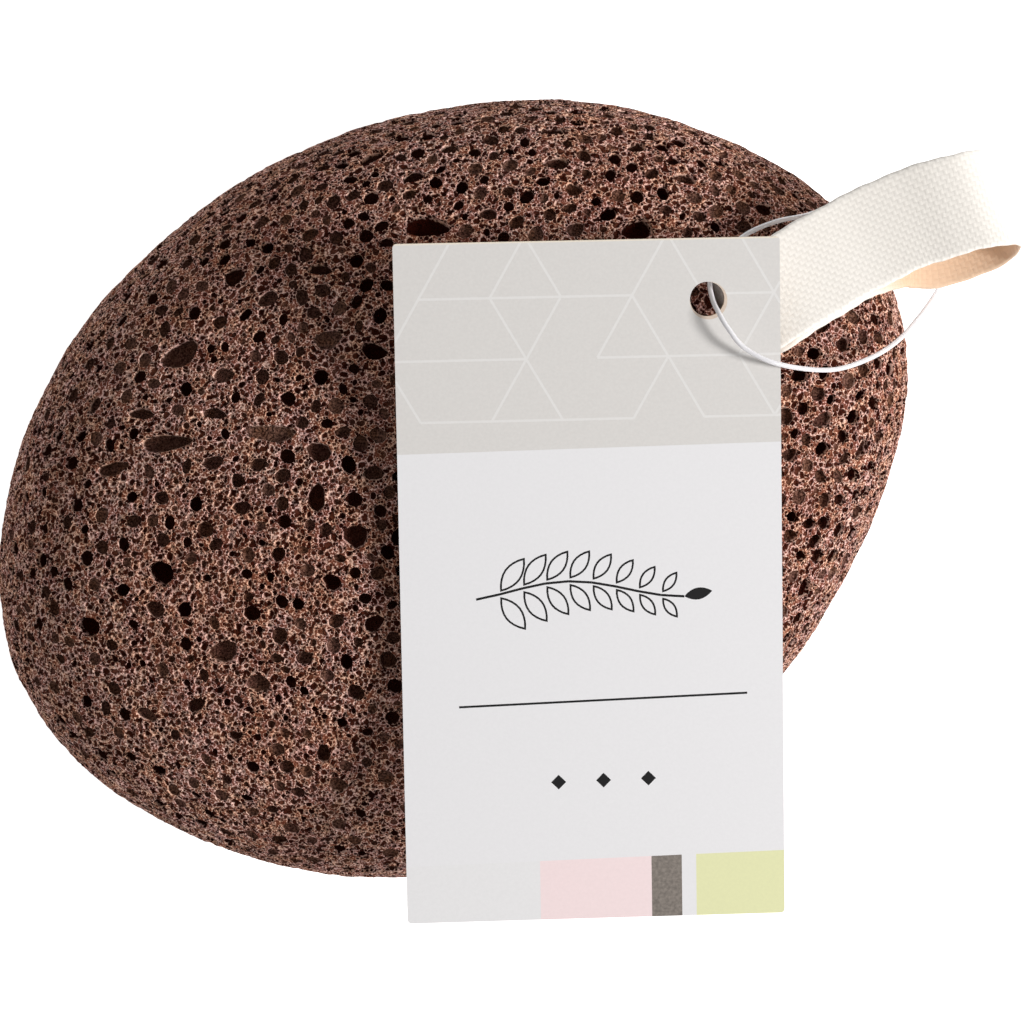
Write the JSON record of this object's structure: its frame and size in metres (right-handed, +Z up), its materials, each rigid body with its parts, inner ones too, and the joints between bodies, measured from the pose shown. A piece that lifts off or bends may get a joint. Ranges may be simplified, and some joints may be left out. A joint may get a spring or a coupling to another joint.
{
  "type": "pumice stone",
  "caption": "Rounded red-brown volcanic foam stone for feet, with open pits, a folded cotton hanging loop in its crown and a card hang tag on a clear ring.",
  "frame": {"origin": "middle of the worn flat under the stone, on the surface that it lies on", "axes": "+Z up, away from that surface; +X along the stone's longer side, towards the hanging loop"},
  "size_m": [0.1058, 0.0848, 0.0471],
  "materials": {
    "lava_foam": "open foam, matt",
    "cotton_tape": "plain weave, unbleached",
    "laminated_card": "satin laminate",
    "clear_nylon": "clear, glossy"
  },
  "bodies": {
    "root": {"stone": "lava_foam", "hanging_tape": "cotton_tape", "hang_tag": "laminated_card", "tag_ring": "clear_nylon"}
  },
  "joints": []
}
